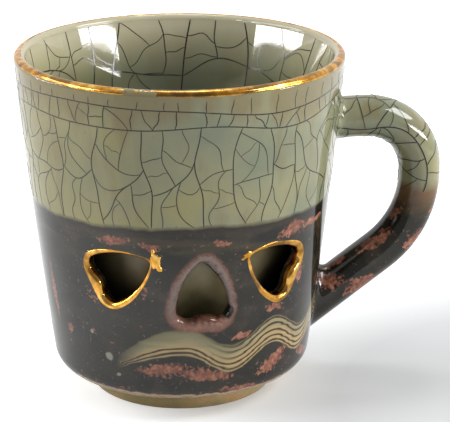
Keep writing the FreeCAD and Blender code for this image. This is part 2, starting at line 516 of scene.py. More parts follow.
def strip_nodes():
    """Geometry nodes that sweep a low kite section along paths, flat side to the surface."""
    name = "stained_strip"
    if name in bpy.data.node_groups:
        return bpy.data.node_groups[name]
    tree = bpy.data.node_groups.new(name, "GeometryNodeTree")
    face = tree.interface
    face.new_socket("Geometry", in_out="INPUT", socket_type="NodeSocketGeometry")
    face.new_socket("Proud Share", in_out="INPUT", socket_type="NodeSocketFloat")
    face.new_socket("Sunk Share", in_out="INPUT", socket_type="NodeSocketFloat")
    face.new_socket("Material", in_out="INPUT", socket_type="NodeSocketMaterial")
    face.new_socket("Geometry", in_out="OUTPUT", socket_type="NodeSocketGeometry")
    given = add(tree, "NodeGroupInput")
    normal = add(tree, "GeometryNodeInputNamedAttribute", {"Name": "surface_normal"},
                 data_type="FLOAT_VECTOR")
    width = add(tree, "GeometryNodeInputNamedAttribute", {"Name": "crack_width"},
                data_type="FLOAT")
    curve = add(tree, "GeometryNodeMeshToCurve", {"Mesh": given.outputs["Geometry"]})
    curve = add(tree, "GeometryNodeSetCurveNormal",
                {"Curve": curve, "Normal": normal}, mode="FREE")
    kite = add(tree, "GeometryNodeCurvePrimitiveQuadrilateral",
               {"Width": 1.0, "Bottom Height": given.outputs["Sunk Share"],
                "Top Height": given.outputs["Proud Share"]}, mode="KITE")
    turned = add(tree, "GeometryNodeTransform",
                 {"Geometry": kite, "Rotation": (0, 0, -math.pi / 2)})
    strip = add(tree, "GeometryNodeCurveToMesh",
                {"Curve": curve, "Profile Curve": turned, "Scale": width, "Fill Caps": True})
    real = add(tree, "GeometryNodeRealizeInstances", {"Geometry": strip})
    dressed = add(tree, "GeometryNodeSetMaterial",
                  {"Geometry": real, "Material": given.outputs["Material"]})
    add(tree, "NodeGroupOutput", {"Geometry": dressed})
    return tree


# Gold lustre

RIM_STEPS = 360
RIM_ROWS = 9
RIM_WORN = (-29.0, -16.5)         # degrees round the mug
FILM_THICKNESS = 0.07
FILM_EDGE, FILM_WORN_OFF = -0.02, -0.04   # where the film dips under the body's surface


def lip_place(angle, along):
    """A place on the lip, by the distance over it from its inner crest outwards and down."""
    quarter = LIP_ROUNDING * math.pi / 2
    if along < quarter:
        turn = along / LIP_ROUNDING
        out, up = math.sin(turn), math.cos(turn)
        place = round_axis(angle, LIP_CENTRE[0] + out * LIP_ROUNDING, LIP_CENTRE[1] + up * LIP_ROUNDING)
    else:
        z = LIP_CENTRE[1] - (along - quarter)
        place = round_axis(angle, wall_radius(z), z)
    return nearest_on_body(place)


def gold_rim(material):
    draw = np.random.default_rng(SEED + 5)
    around = float(RIM_STEPS)
    inner = ring_line(draw, around, -0.45, 0.12)
    outer = ring_line(draw, around, 2.15, 0.22)
    rough = draw.uniform(-0.06, 0.06, (RIM_STEPS, 2))
    specks = draw.uniform(0, 1, (RIM_STEPS, RIM_ROWS))
    rows = []
    for i in range(RIM_STEPS):
        angle = 2 * math.pi * i / RIM_STEPS
        low = float(inner(i)) + rough[i, 0]
        high = float(outer(i)) + rough[i, 1]
        rows.append([lip_place(angle, low + (high - low) * j / (RIM_ROWS - 1)) for j in range(RIM_ROWS)])

    def thickness(i, j):
        degrees = (i * 360 / RIM_STEPS + 180) % 360 - 180
        edge = min(j, RIM_ROWS - 1 - j)
        if edge == 0:
            return FILM_EDGE
        worn = min(degrees - RIM_WORN[0], RIM_WORN[1] - degrees)
        if worn > 0 and specks[i, j] > 0.12 + 0.5 / (1 + 2 * worn):
            return FILM_WORN_OFF
        return FILM_THICKNESS

    return film("gold_rim", rows, thickness, material)


def heart_distance(x, y, notch=True):
    """How far a point lies outside a heart that stands tip up, below 0 inside.

    Without its notch the heart's base runs straight from lobe to lobe.
    """
    x = abs(x)
    if y - TIP_Y > x * TIP_SLOPE:
        return math.hypot(x, y - TIP_Y) - HEART_TIP
    if y > LOBE_Y:
        return math.hypot(x - FLANK_X, y - LOBE_Y) - FLANK_ROUNDING
    if x > LOBE_X:
        return math.hypot(x - LOBE_X, y - LOBE_Y) - HEART_LOBE
    base = HEART_BASE - y
    return max(base, NOTCH_ROUNDING - math.hypot(x, y - NOTCH_Y)) if notch else base


def heart_reach(direction, distance, notch=True):
    """How far from the heart's middle a direction gets to a distance from the outline."""
    low, high = 0.0, HEART_LENGTH
    for _ in range(24):
        middle = (low + high) / 2
        if heart_distance(*(direction * middle), notch) < distance:
            low = middle
        else:
            high = middle
    return low


HEART_STEPS = 150
CUT_DEPTHS = (2.6, 1.9, 1.3)      # how far into the cut the gilding goes
BAND_SHARES = (0.0, 0.12, 0.25, 0.4, 0.55, 0.7, 0.85, 1.0)


def heart_gilding(name, heart, material, width, seed):
    """Gold painted round a window, on its rounded edge and a band of the wall.

    width gives the band's width from the cut at a turn round the heart from its tip.
    """
    draw = np.random.default_rng(seed)
    edge = ring_line(draw, HEART_STEPS, 0.0, 0.11)
    lean = math.radians(heart["lean"])
    spin = np.array([[math.cos(lean), -math.sin(lean)], [math.sin(lean), math.cos(lean)]])
    middle = np.array([math.radians(heart["angle"]) * WALL_ARC_RADIUS, heart["height"]])
    rows = []
    for i in range(HEART_STEPS):
        share = i / HEART_STEPS
        direction = np.array([math.sin(2 * math.pi * share), math.cos(2 * math.pi * share)])
        cut = heart_reach(direction, 0.0)
        band = width(share) + float(edge(i))
        outer = max(heart_reach(direction, band, notch=False), cut + 0.5)
        steps = [(cut, depth) for depth in CUT_DEPTHS]
        for part in BAND_SHARES:
            reach = cut + (outer - cut) * part
            inside = min(max(HEART_EDGE_ROUNDING - (reach - cut), 0.0), HEART_EDGE_ROUNDING)
            steps.append((reach, HEART_EDGE_ROUNDING - math.sqrt(HEART_EDGE_ROUNDING ** 2 - inside ** 2)))
        row = []
        for reach, depth in steps:
            arc, z = middle + (direction * reach) @ spin
            row.append(nearest_on_body(round_axis(arc / WALL_ARC_RADIUS, wall_radius(z) - depth, z)))
        rows.append(row)

    def thickness(i, j):
        return FILM_EDGE if j in (0, len(rows[0]) - 1) else FILM_THICKNESS

    return film(name, rows, thickness, material)


def left_band(share):
    """Width of the left window's gold: broad at its base, narrow towards its tip."""
    return 1.45 + 0.6 * math.cos(2 * math.pi * (share - 0.5)) + 0.15 * math.sin(2 * math.pi * share)


def right_band(share):
    """Width of the right window's gold: broadest at its lower lobe."""
    return 1.75 + 0.35 * math.cos(2 * math.pi * (share - 0.55))


BLOB_GRID = 13
BLOB_HEIGHT = 0.28
GOLD_BLOBS = {                    # arc position, height, half width and height, lean, seed
    "gold_left_drop": (-12.2, 45.9, (1.3, 2.2), 8.0, SEED + 8),
    "gold_left_run": (-11.4, 44.1, (0.7, 1.2), -20.0, SEED + 10),
    "gold_left_spur": (-12.8, 48.1, (0.45, 0.9), 8.0, SEED + 11),
    "gold_right_drop": (11.0, 46.2, (1.2, 1.0), 30.0, SEED + 9),
    "gold_right_spur": (9.9, 45.6, (0.5, 0.8), 60.0, SEED + 12),
}


def gold_blob(name, arc, z, size, lean, seed, material):
    """A thick drop of gold on the wall, an uneven oval with a domed top."""
    draw = np.random.default_rng(seed)
    edge = ring_line(draw, 360, 1.0, 0.13)
    lean = math.radians(lean)
    rows, heights = [], []
    for i in range(BLOB_GRID):
        row = []
        for j in range(BLOB_GRID):
            u, v = (2 * k / (BLOB_GRID - 1) - 1 for k in (i, j))
            x, y = u * math.sqrt(1 - v * v / 2), v * math.sqrt(1 - u * u / 2)
            swell = float(edge(math.degrees(math.atan2(y, x))))
            x, y, out = x * swell * size[0], y * swell * size[1], math.hypot(x, y)
            heights.append(BLOB_HEIGHT * math.sqrt(max(0.0, 1 - out * out)) - 0.03)
            here = arc + x * math.cos(lean) + y * math.sin(lean)
            height = z - x * math.sin(lean) + y * math.cos(lean)
            row.append(nearest_on_body(round_axis(here / WALL_ARC_RADIUS, wall_radius(height), height)))
        rows.append(row)
    return film(name, rows, lambda i, j: heights[i * BLOB_GRID + j], material, closed=False)


# Materials

def paint(code):
    """An sRGB hex colour as linear light."""
    parts = [int(code[i:i + 2], 16) / 255 for i in (1, 3, 5)]
    return tuple(c / 12.92 if c <= 0.04045 else ((c + 0.055) / 1.055) ** 2.4 for c in parts) + (1.0,)


def add(tree, kind, sockets=None, stops=(), **settings):
    """Adds a node with its settings, sets or links its sockets, and gives a ramp its stops."""
    node = tree.nodes.new(kind)
    for name, value in settings.items():
        setattr(node, name, value)
    for name, value in (sockets or {}).items():
        if isinstance(value, bpy.types.Node):
            value = value.outputs[0]
        if isinstance(value, bpy.types.NodeSocket):
            tree.links.new(value, node.inputs[name])
        else:
            node.inputs[name].default_value = value
    if stops:
        marks = node.color_ramp.elements
        marks[0].position, marks[-1].position = stops[0][0], stops[-1][0]
        marks[0].color, marks[-1].color = paint(stops[0][1]), paint(stops[-1][1])
        for place, colour in stops[1:-1]:
            marks.new(place).color = paint(colour)
    return node


def lay_surface(tree, sockets):
    shader = add(tree, "ShaderNodeBsdfPrincipled", sockets)
    add(tree, "ShaderNodeOutputMaterial", {"Surface": shader})


def new_material(name):
    material = bpy.data.materials.new(name)
    material.use_nodes = True
    material.node_tree.nodes.clear()
    return material, material.node_tree


ARC_MIDDLE = math.radians(105)    # the arc scale's middle, opposite its cut, where no pattern crosses


def find_place(tree):
    """A point's place in mm, with its radius and height, and its arc position and height laid flat."""
    place = add(tree, "ShaderNodeTexCoord").outputs["Object"]
    place = add(tree, "ShaderNodeVectorMath", {0: place, "Scale": 1 / MM}, operation="SCALE")
    turned = add(tree, "ShaderNodeMapping", {"Vector": place, "Rotation": (0, 0, -ARC_MIDDLE)})
    parts = add(tree, "ShaderNodeSeparateXYZ", {0: turned})
    front = add(tree, "ShaderNodeMath", {0: parts.outputs["Y"], 1: -1.0}, operation="MULTIPLY")
    turn = add(tree, "ShaderNodeMath", {0: parts.outputs["X"], 1: front}, operation="ARCTAN2")
    arc = add(tree, "ShaderNodeMath", {0: turn, 1: WALL_ARC_RADIUS, 2: ARC_MIDDLE * WALL_ARC_RADIUS},
              operation="MULTIPLY_ADD")
    across = add(tree, "ShaderNodeSeparateXYZ", {0: place}).outputs["X"]
    level = add(tree, "ShaderNodeVectorMath", {0: place, 1: (1, 1, 0)}, operation="MULTIPLY")
    radius = add(tree, "ShaderNodeVectorMath", {0: level}, operation="LENGTH").outputs["Value"]
    flat = add(tree, "ShaderNodeCombineXYZ", {"X": arc, "Y": parts.outputs["Z"]})
    return {"place": place, "x": across, "z": parts.outputs["Z"], "radius": radius, "arc": arc, "flat": flat}


def celadon(tree, at, thin_from, thin_to):
    """The celadon's colour: grey-green where it lies thick, warmer and pinkish where thin.

    It thins between two heights, towards the lip.
    """
    cloud = add(tree, "ShaderNodeTexNoise", {"Vector": at["place"], "Scale": 1 / 15, "Detail": 3.0})
    body = add(tree, "ShaderNodeValToRGB", {"Fac": cloud},
               [(0.32, "#767C66"), (0.47, "#828368"), (0.58, "#898768"), (0.7, "#908B60")])
    flame = add(tree, "ShaderNodeMapRange", {"Value": at["x"], "From Min": -40.0, "From Max": -12.0,
                                             "To Min": 0.85, "To Max": 0.0})
    streaks = add(tree, "ShaderNodeMapping", {"Vector": at["place"], "Scale": (1, 1, 0.3),
                                              "Location": (40, 0, 0)})
    flush = add(tree, "ShaderNodeTexNoise", {"Vector": streaks, "Scale": 1 / 6.5, "Detail": 4.0})
    thin = add(tree, "ShaderNodeMapRange", {"Value": at["z"], "From Min": thin_from, "From Max": thin_to,
                                            "To Max": 0.3})
    warm = add(tree, "ShaderNodeMath", {0: flush, 1: thin}, operation="ADD")
    warm = add(tree, "ShaderNodeMapRange", {"Value": warm, "From Min": 0.5, "From Max": 0.78,
                                            "To Max": 0.65}, interpolation_type="SMOOTHSTEP")
    speck = add(tree, "ShaderNodeTexNoise", {"Vector": at["place"], "Scale": 1 / 1.3, "Detail": 2.0})
    speck = add(tree, "ShaderNodeMapRange", {"Value": speck, "From Min": 0.69, "From Max": 0.8,
                                             "To Max": 0.45})
    for part, tone in ((flame, "#8C8454"), (warm, "#7A6A46"), (speck, "#6C5A34")):
        body = add(tree, "ShaderNodeMixRGB", {"Fac": part, "Color1": body, "Color2": paint(tone)})
    return body


def glaze_relief(tree, at, ring, ring_height, swell, peel=0.004):
    """The glaze's relief: throwing rings under it, a slow swell and a fine orange-peel."""
    rings = add(tree, "ShaderNodeMapping", {"Vector": at["place"], "Scale": (0.06, 0.06, 1)})
    rings = add(tree, "ShaderNodeTexNoise", {"Vector": rings, "Scale": 1 / ring, "Detail": 1.0})
    slow = add(tree, "ShaderNodeTexNoise", {"Vector": at["place"], "Scale": 1 / 13, "Detail": 1.0})
    fine = add(tree, "ShaderNodeTexNoise", {"Vector": at["place"], "Scale": 1 / 0.9, "Detail": 2.0})
    height = 0.0
    for waves, tall in ((rings, ring_height), (slow, swell), (fine, peel)):
        height = add(tree, "ShaderNodeMath", {0: waves, 1: tall, 2: height}, operation="MULTIPLY_ADD")
    return add(tree, "ShaderNodeBump", {"Height": height, "Distance": MM})


def iron_glaze(tree, at, above):
    """The dark iron glaze's colour, brushed on in level strokes that show more near its top."""
    strokes = add(tree, "ShaderNodeMapping", {"Vector": at["place"], "Scale": (0.22, 0.22, 1)})
    broad = add(tree, "ShaderNodeTexNoise", {"Vector": strokes, "Scale": 1 / 3.2, "Detail": 4.0})
    cloud = add(tree, "ShaderNodeTexNoise", {"Vector": at["place"], "Scale": 1 / 9, "Detail": 3.0})
    body = add(tree, "ShaderNodeValToRGB", {"Fac": cloud},
               [(0.3, "#15140F"), (0.5, "#1F1D16"), (0.72, "#2A271D")])
    depth = add(tree, "ShaderNodeMapRange", {"Value": above, "From Min": -12.0, "From Max": -1.0,
                                             "To Min": -0.2, "To Max": 0.12})
    olive = add(tree, "ShaderNodeMath", {0: broad, 1: depth}, operation="ADD")
    olive = add(tree, "ShaderNodeMapRange", {"Value": olive, "From Min": 0.47, "From Max": 0.66,
                                             "To Max": 0.5})
    drawn_out = add(tree, "ShaderNodeMapping", {"Vector": at["place"], "Location": (0, 60, 0),
                                                "Scale": (0.6, 0.6, 1)})
    warm = add(tree, "ShaderNodeTexNoise", {"Vector": drawn_out, "Scale": 1 / 5, "Detail": 5.0})
    warm = add(tree, "ShaderNodeMapRange", {"Value": warm, "From Min": 0.54, "From Max": 0.72,
                                            "To Max": 0.6})
    speck = add(tree, "ShaderNodeTexNoise", {"Vector": at["place"], "Scale": 1 / 1.1, "Detail": 2.0})
    speck = add(tree, "ShaderNodeMapRange", {"Value": speck, "From Min": 0.66, "From Max": 0.74,
                                             "To Max": 0.55})
    for part, tone in ((olive, "#4E432C"), (warm, "#42352A"), (speck, "#75675A")):
        body = add(tree, "ShaderNodeMixRGB", {"Fac": part, "Color1": body, "Color2": paint(tone)})
    return body


def ovals(tree, flat, marks):
    """How far inside the nearest of some ovals a point lies, from 0 at its edge to 1.

    Each mark is an arc position, a height, half a length, half a width and a lean in degrees.
    """
    inside = None
    for arc, z, length, width, lean in marks:
        spot = add(tree, "ShaderNodeMapping",
                   {"Vector": flat, "Location": (arc, z, 0), "Rotation": (0, 0, math.radians(lean)),
                    "Scale": (length, width, 1)}, vector_type="TEXTURE")
        oval = add(tree, "ShaderNodeTexGradient", {"Vector": spot}, gradient_type="SPHERICAL")
        inside = oval if inside is None else add(tree, "ShaderNodeMath", {0: inside, 1: oval},
                                                 operation="MAXIMUM")
    return inside


# Where the iron broke through rusty, was left black, or pooled pale: ovals as above
RUSTY = (
    (24.2, 50.6, 5.8, 2.2, 14), (33.5, 50.2, 6.5, 1.1, 0), (-22.4, 50.5, 5.4, 1.3, 4),
    (-13.6, 49.6, 3.0, 1.2, -8), (4.0, 50.1, 3.4, 1.0, -4), (22.0, 14.0, 7.4, 2.3, 26),
    (-11.5, 15.6, 9.0, 2.0, 8), (0.5, 13.9, 9.5, 2.1, -8), (10.5, 24.0, 3.8, 1.2, 14),
    (-41.3, 21.9, 1.6, 2.0, 0), (-47.5, 31.0, 1.1, 10.0, 6), (38.0, 12.0, 4.8, 1.9, -20),
    (12.0, 8.6, 9.0, 1.0, -4), (29.0, 38.0, 1.7, 5.0, 12), (20.5, 30.0, 3.6, 1.2, -4),
    (70.0, 24.0, 6.0, 2.6, 20), (96.0, 40.0, 9.0, 3.0, -12),
    (56.6, 36.0, 1.2, 3.6, 0), (55.4, 24.0, 1.8, 3.4, 0), (61.0, 31.0, 1.3, 6.0, 0),
    (57.6, 43.0, 0.9, 2.2, 10), (57.8, 29.6, 0.9, 2.2, 0),
    (122.0, 14.0, 10.0, 2.4, 6), (150.0, 46.0, 7.0, 2.0, 5), (168.0, 27.0, 3.5, 5.5, 10),
)
FRECKLES = (
    (-30.5, 34.3, 3.8, 2.0, -50), (-15.4, 37.0, 2.0, 3.4, -20), (-31.8, 23.5, 1.2, 1.2, 0),
    (-24.9, 21.4, 1.5, 1.0, 0), (-4.0, 15.0, 17.0, 3.2, 0), (22.0, 14.0, 9.0, 3.4, 26),
    (-26.0, 8.6, 9.0, 0.8, 6), (12.5, 21.5, 8.0, 1.6, 25),
)
BLACK = (
    (-44.0, 50.6, 7.2, 2.7, -14), (20.0, 50.6, 11.0, 2.3, 3), (34.5, 51.6, 6.5, 1.5, 5),
    (84.0, 50.5, 12.0, 2.0, 0), (140.0, 51.0, 9.0, 1.8, 3),
)
PALE_DROPS = ((-26.9, 17.5, 1.4, 1.4, 0), (-32.0, 23.4, 0.7, 0.7, 0), (-24.2, 12.7, 0.8, 0.6, 0))

# The slip band: a wave combed into its lower side, tapering at both ends
SLIP_START = -24.0
SLIP_CREST = -5.0                 # arc position of its first crest
SLIP_END = 188.0
SLIP_FADE = 22.0                  # over which it narrows to nothing at its end
SLIP_WAVE = 25.9
SLIP_SWING = 2.75
SLIP_MIDDLE = 20.6
SLIP_HALF = 4.0
SLIP_NARROWING = 0.55             # share of its half width lost at its start
SLIP_FALL = 0.02                  # how fast its start drops, as height over distance squared
COMB_LINES = (0.14, 0.3)
COMB_LINES_RIGHT = (0.12, 0.29, 0.49, 0.71, 0.9)


def comb_stops(lines, above):
    """Ramp stops over the band's width: a dark line at each comb tooth, slip between and above."""
    stops = [(0.0, "#30261A")]
    for line in lines:
        ground = "#AA9468" if line < 0.5 else "#8F8562"
        stops += [(line - 0.055, ground), (line - 0.02, "#3A2616"), (line + 0.02, "#3A2616"),
                  (line + 0.055, ground)]
    return stops + above + [(1.0, "#3A3526")]


def slip_band(tree, at):
    """The slip band's cover and colour at a point."""
    along = add(tree, "ShaderNodeMath", {0: at["arc"], 1: -SLIP_CREST}, operation="ADD")
    before = add(tree, "ShaderNodeMath", {0: along, 1: 0.0}, operation="MINIMUM")
    before = add(tree, "ShaderNodeMath", {0: before, 1: before}, operation="MULTIPLY")
    after = add(tree, "ShaderNodeMath", {0: along, 1: 0.0}, operation="MAXIMUM")
    turn = add(tree, "ShaderNodeMath", {0: after, 1: 2 * math.pi / SLIP_WAVE}, operation="MULTIPLY")
    wave = add(tree, "ShaderNodeMath", {0: turn}, operation="COSINE")
    middle = add(tree, "ShaderNodeMath", {0: before, 1: -SLIP_FALL, 2: SLIP_MIDDLE}, operation="MULTIPLY_ADD")
    middle = add(tree, "ShaderNodeMath", {0: wave, 1: SLIP_SWING, 2: middle}, operation="MULTIPLY_ADD")
    half = add(tree, "ShaderNodeMath",
               {0: before, 1: -SLIP_NARROWING * SLIP_HALF / (SLIP_CREST - SLIP_START) ** 2, 2: SLIP_HALF},
               operation="MULTIPLY_ADD")
    end = add(tree, "ShaderNodeMapRange", {"Value": at["arc"], "From Min": SLIP_END - SLIP_FADE,
                                           "From Max": SLIP_END, "To Min": 1.0, "To Max": 0.0},
              interpolation_type="SMOOTHSTEP")
    half = add(tree, "ShaderNodeMath", {0: half, 1: end}, operation="MULTIPLY")
    half = add(tree, "ShaderNodeMath", {0: half, 1: 0.01}, operation="MAXIMUM")
    off = add(tree, "ShaderNodeMath", {0: at["z"], 1: middle}, operation="SUBTRACT")
    drag = add(tree, "ShaderNodeMapping", {"Vector": at["flat"], "Scale": (0.14, 1, 1)})
    drag = add(tree, "ShaderNodeTexNoise", {"Vector": drag, "Scale": 1 / 1.8, "Detail": 2.0})
    off = add(tree, "ShaderNodeMath", {0: drag, 1: 1.3, 2: off}, operation="MULTIPLY_ADD")
    off = add(tree, "ShaderNodeMath", {0: off, 1: 0.65}, operation="SUBTRACT")
    share = add(tree, "ShaderNodeMath", {0: off, 1: half}, operation="DIVIDE")
    share = add(tree, "ShaderNodeMath", {0: share, 1: 0.5, 2: 0.5}, operation="MULTIPLY_ADD")
    plain = add(tree, "ShaderNodeValToRGB", {"Fac": share},
                comb_stops(COMB_LINES, [(0.6, "#8A8262"), (0.96, "#6C664A")]))
    lined = add(tree, "ShaderNodeValToRGB", {"Fac": share},
                comb_stops(COMB_LINES_RIGHT, [(0.96, "#6C664A")]))
    right = add(tree, "ShaderNodeMapRange", {"Value": at["arc"], "From Min": 0.0, "From Max": 12.0})
    wash = add(tree, "ShaderNodeMapRange", {"Value": drag, "From Min": 0.4, "From Max": 0.75,
                                            "To Max": 0.3})
    colour = add(tree, "ShaderNodeMixRGB", {"Fac": right, "Color1": plain, "Color2": lined})
    colour = add(tree, "ShaderNodeMixRGB", {"Fac": wash, "Color1": colour, "Color2": paint("#6B5F42")})
    below = add(tree, "ShaderNodeMapRange", {"Value": share, "From Min": -0.01, "From Max": 0.04})
    top = add(tree, "ShaderNodeMapRange", {"Value": share, "From Min": 0.9, "From Max": 1.03,
                                           "To Min": 1.0, "To Max": 0.0})
    begun = add(tree, "ShaderNodeMapRange", {"Value": at["arc"], "From Min": SLIP_START - 1,
                                             "From Max": SLIP_START + 8})
    wall = add(tree, "ShaderNodeMath", {0: at["z"], 1: -WALL_TAPER, 2: at["radius"]},
               operation="MULTIPLY_ADD")
    wall = add(tree, "ShaderNodeMath", {0: wall, 1: CORNER[0] - WALL_TAPER * CORNER[1] + 0.5},
               operation="LESS_THAN")
    cover = below
    for part in (top, begun, wall):
        cover = add(tree, "ShaderNodeMath", {0: cover, 1: part}, operation="MULTIPLY")
    return cover, colour


def outside_window(tree, flat, heart):
    """How far a point of the wall lies outside a window's cut, in mm."""
    where = (math.radians(heart["angle"]) * WALL_ARC_RADIUS, heart["height"], 0)
    upright = add(tree, "ShaderNodeMapping",
                  {"Vector": flat, "Location": where, "Rotation": (0, 0, math.radians(heart["lean"]))},
                  vector_type="TEXTURE")
    parts = add(tree, "ShaderNodeSeparateXYZ", {0: upright})
    side = add(tree, "ShaderNodeMath", {0: parts.outputs["X"]}, operation="ABSOLUTE")
    folded = add(tree, "ShaderNodeCombineXYZ", {"X": side, "Y": parts.outputs["Y"]})

    def outside_arc(x, y, rounding):
        away = add(tree, "ShaderNodeVectorMath", {0: folded, 1: (x, y, 0)}, operation="DISTANCE")
        return add(tree, "ShaderNodeMath", {0: away.outputs["Value"], 1: rounding}, operation="SUBTRACT")

    flank = outside_arc(FLANK_X, LOBE_Y, FLANK_ROUNDING)
    lobe = outside_arc(LOBE_X, LOBE_Y, HEART_LOBE)
    tip = outside_arc(0, TIP_Y, HEART_TIP)
    base = add(tree, "ShaderNodeMath", {0: HEART_BASE, 1: parts.outputs["Y"]}, operation="SUBTRACT")
    at_tip = add(tree, "ShaderNodeMath", {0: side, 1: -TIP_SLOPE, 2: parts.outputs["Y"]},
                 operation="MULTIPLY_ADD")
    at_tip = add(tree, "ShaderNodeMath", {0: at_tip, 1: TIP_Y}, operation="GREATER_THAN")
    at_base = add(tree, "ShaderNodeMath", {0: parts.outputs["Y"], 1: LOBE_Y}, operation="LESS_THAN")
    at_lobe = add(tree, "ShaderNodeMath", {0: side, 1: LOBE_X}, operation="GREATER_THAN")
    under = add(tree, "ShaderNodeMix", {0: at_lobe, 2: base, 3: lobe})
    body = add(tree, "ShaderNodeMix", {0: at_tip, 2: flank, 3: tip})
    return add(tree, "ShaderNodeMix", {0: at_base, 2: body, 3: under})


LIP_BAND = 2.9                    # the bare-looking band round the middle window
LIP_BLUR = 0.4                    # over which that band ends, to each side
LIP_MISSED = ((6.4, 31.2, 1.7, 2.3, 0),)   # ovals where that band is missing
GLAZE_FOOT = 7.7                  # where the glaze ends above the foot


def outside_glaze():
    """Celadon over a brushed iron glaze, both glossy and crazed, with a combed slip band.

    The celadon looks milky and grey-green, and the iron glaze near black with rusty breaks.
    """
    material, tree = new_material("stoneware_celadon_and_iron_glaze_fired_glossy")
    at = find_place(tree)
    ragged = add(tree, "ShaderNodeTexNoise", {"Vector": at["place"], "Scale": 1 / 2.6, "Detail": 4.0})
    fray = add(tree, "ShaderNodeVectorMath", {0: ragged.outputs["Color"], 1: (0.5, 0.5, 0.5)},
               operation="SUBTRACT")
    frayed = add(tree, "ShaderNodeVectorMath", {0: fray, 1: (3.2, 3.2, 0), 2: at["flat"]},
                 operation="MULTIPLY_ADD")
    soft = add(tree, "ShaderNodeVectorMath", {0: fray, 1: (0.9, 0.9, 0), 2: at["flat"]},
               operation="MULTIPLY_ADD")

    # The celadon's lower edge, level round the wall and lower on the handle
    edge = DARK_EDGE
    for waves, swing in DARK_EDGE_WAVES:
        turn = add(tree, "ShaderNodeMath", {0: at["arc"], 1: waves / WALL_ARC_RADIUS}, operation="MULTIPLY")
        wave = add(tree, "ShaderNodeMath", {0: turn}, operation="COSINE")
        edge = add(tree, "ShaderNodeMath", {0: wave, 1: swing, 2: edge}, operation="MULTIPLY_ADD")
    on_handle = add(tree, "ShaderNodeMapRange", {"Value": at["radius"], "From Min": 43.0, "From Max": 46.0})
    edge = add(tree, "ShaderNodeMix", {0: on_handle, 2: edge, 3: HANDLE_DARK_EDGE})
    above = add(tree, "ShaderNodeMath", {0: at["z"], 1: edge}, operation="SUBTRACT")
    reach = add(tree, "ShaderNodeMapRange", {"Value": on_handle, "To Min": 2.2, "To Max": 6.0})
    shift = add(tree, "ShaderNodeMath", {0: ragged, 1: 0.5}, operation="SUBTRACT")
    drift = add(tree, "ShaderNodeTexNoise", {"Vector": at["place"], "Scale": 1 / 7, "Detail": 2.0})
    drift = add(tree, "ShaderNodeMath", {0: drift, 1: 0.5}, operation="SUBTRACT")
    above = add(tree, "ShaderNodeMath", {0: drift, 1: reach, 2: above}, operation="MULTIPLY_ADD")

    black = add(tree, "ShaderNodeMapRange", {"Value": ovals(tree, soft, BLACK), "From Min": 0.1,
                                             "From Max": 0.4, "To Max": 0.95})
    fleck = add(tree, "ShaderNodeTexNoise", {"Vector": at["place"], "Scale": 1 / 0.85, "Detail": 2.0})
    patch = ovals(tree, frayed, RUSTY)
    rust = add(tree, "ShaderNodeMath", {0: fleck, 1: 1.3, 2: patch}, operation="MULTIPLY_ADD")
    rust = add(tree, "ShaderNodeMapRange", {"Value": rust, "From Min": 0.74, "From Max": 1.06})
    patch = add(tree, "ShaderNodeMapRange", {"Value": patch, "From Min": 0.02, "From Max": 0.12})
    rust = add(tree, "ShaderNodeMath", {0: rust, 1: patch}, operation="MULTIPLY")
    rust_tone = add(tree, "ShaderNodeMath", {0: fleck, 1: ragged}, operation="ADD")
    rust_tone = add(tree, "ShaderNodeMath", {0: rust_tone, 1: 0.5}, operation="MULTIPLY")
    rust_tone = add(tree, "ShaderNodeValToRGB", {"Fac": rust_tone},
                    [(0.34, "#5C4036"), (0.5, "#7E4C3A"), (0.62, "#9C6A54")])
    flecks = add(tree, "ShaderNodeMath", {0: ovals(tree, frayed, FRECKLES), 1: 0.35, 2: fleck},
                 operation="MULTIPLY_ADD")
    flecks = add(tree, "ShaderNodeMapRange", {"Value": flecks, "From Min": 0.69, "From Max": 0.78,
                                              "To Max": 0.8})
    rust = add(tree, "ShaderNodeMath", {0: rust, 1: flecks}, operation="MAXIMUM")
    drops = add(tree, "ShaderNodeMapRange", {"Value": ovals(tree, soft, PALE_DROPS), "From Min": 0.05,
                                             "From Max": 0.4, "To Max": 0.8})
    cover, slip = slip_band(tree, at)

    # The bare-looking lip round the middle window, rustier low down
    lip = outside_window(tree, soft, HEARTS["middle"])
    lip = add(tree, "ShaderNodeMath", {0: shift, 1: 1.5, 2: lip}, operation="MULTIPLY_ADD")
    lip_share = add(tree, "ShaderNodeMath", {0: fleck, 1: 2.0, 2: lip}, operation="MULTIPLY_ADD")
    lip_share = add(tree, "ShaderNodeMath", {0: lip_share, 1: 1.0}, operation="SUBTRACT")
    lip_share = add(tree, "ShaderNodeMapRange", {"Value": lip_share, "From Min": -1.0,
                                                 "From Max": LIP_BAND + LIP_BLUR})
    lip_tone = add(tree, "ShaderNodeValToRGB", {"Fac": lip_share},
                   [(0.16, "#1E1410"), (0.32, "#655149"), (0.55, "#7E6D66"), (0.78, "#6E4A3D"),
                    (1.0, "#33231C")])
    low = add(tree, "ShaderNodeMapRange", {"Value": at["z"], "From Min": 34.0, "From Max": 28.0,
                                           "To Max": 0.65})
    lip_tone = add(tree, "ShaderNodeMixRGB", {"Fac": low, "Color1": lip_tone, "Color2": rust_tone})
    bare = add(tree, "ShaderNodeMapRange", {"Value": lip, "From Min": LIP_BAND - LIP_BLUR,
                                            "From Max": LIP_BAND + LIP_BLUR,
                                            "To Min": 0.95, "To Max": 0.0})
    missed = add(tree, "ShaderNodeMapRange", {"Value": ovals(tree, soft, LIP_MISSED), "From Min": 0.1,
                                              "From Max": 0.35, "To Min": 1.0, "To Max": 0.0})
    bare = add(tree, "ShaderNodeMath", {0: bare, 1: missed}, operation="MULTIPLY")

